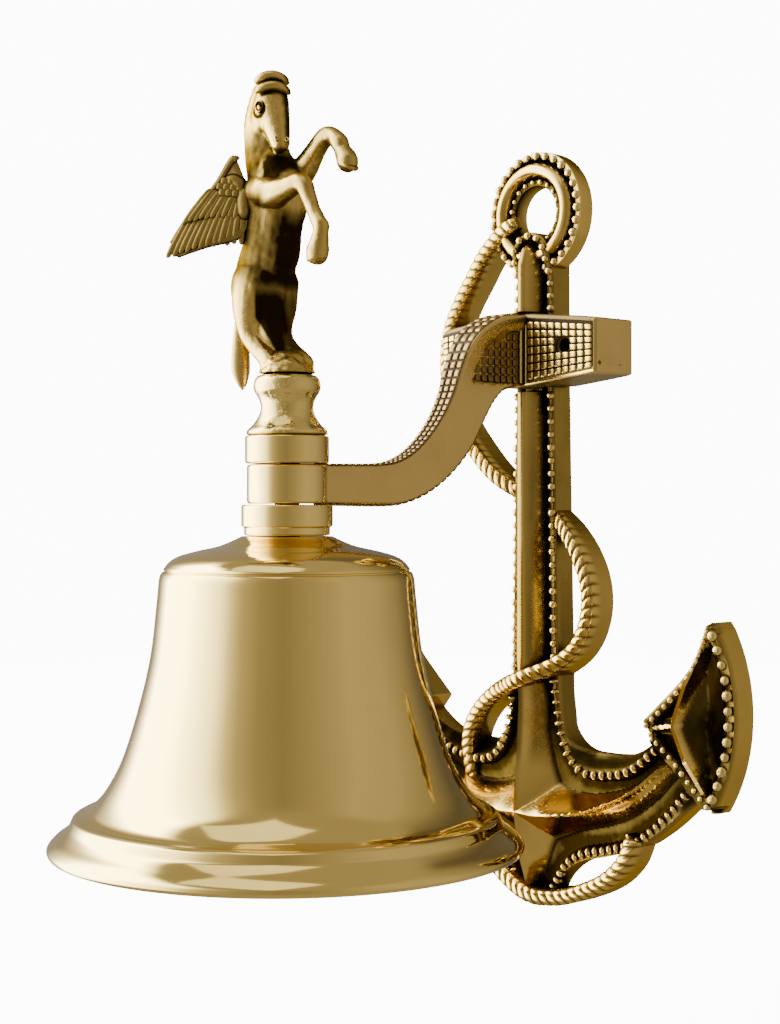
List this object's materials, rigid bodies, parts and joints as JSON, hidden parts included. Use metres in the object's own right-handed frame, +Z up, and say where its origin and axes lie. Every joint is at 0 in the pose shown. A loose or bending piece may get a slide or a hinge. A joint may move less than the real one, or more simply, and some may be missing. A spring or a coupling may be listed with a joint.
{
  "type": "ship bell",
  "caption": "Wall-hung brass ship bell on a swan-neck arm, with an entwined anchor plate, a winged horse finial and a swinging clapper.",
  "frame": {"origin": "on the anchor's flat back against the wall, on its centre line, level with the middle of the arm's eye", "axes": "+Y into the wall, so the bell hangs towards -Y; +Z up; +X to the right seen from the room"},
  "size_m": [0.1812, 0.2, 0.2857],
  "materials": {
    "polished_brass": "mirror polished",
    "antique_brass": "satin with dark patina in the recesses",
    "brass_fastener": "turned, unpolished"
  },
  "bodies": {
    "mounted_bell": {"anchor_casting": "antique_brass", "bracket_arm": "antique_brass", "horse_figure": "antique_brass", "wing_left": "antique_brass", "wing_right": "antique_brass", "bell_shell": "polished_brass", "neck_collar": "polished_brass", "top_collar": "polished_brass", "finial_base": "polished_brass", "hanger_bolt": "brass_fastener", "inner_washer": "brass_fastener", "inner_lock_washer": "brass_fastener", "inner_nut": "brass_fastener", "arm_screw_upper": "brass_fastener", "arm_screw_lower": "brass_fastener", "arm_washer_upper": "brass_fastener", "arm_washer_lower": "brass_fastener"},
    "link": {"clapper_link": "brass_fastener"},
    "clapper": {"clapper_rod": "antique_brass", "clapper_ball": "antique_brass", "lanyard_eye": "antique_brass"}
  },
  "joints": [
    {"name": "clapper_swing", "type": "hinge", "parent": "mounted_bell", "child": "link", "pos_m": [0, -0.124, -0.0404], "axis": [1, 0, 0], "range_deg": [-38, 38]},
    {"name": "clapper_sway", "type": "hinge", "parent": "link", "child": "clapper", "pos_m": [0, -0.124, -0.0507], "axis": [0, 1, 0], "range_deg": [-14, 14]}
  ]
}
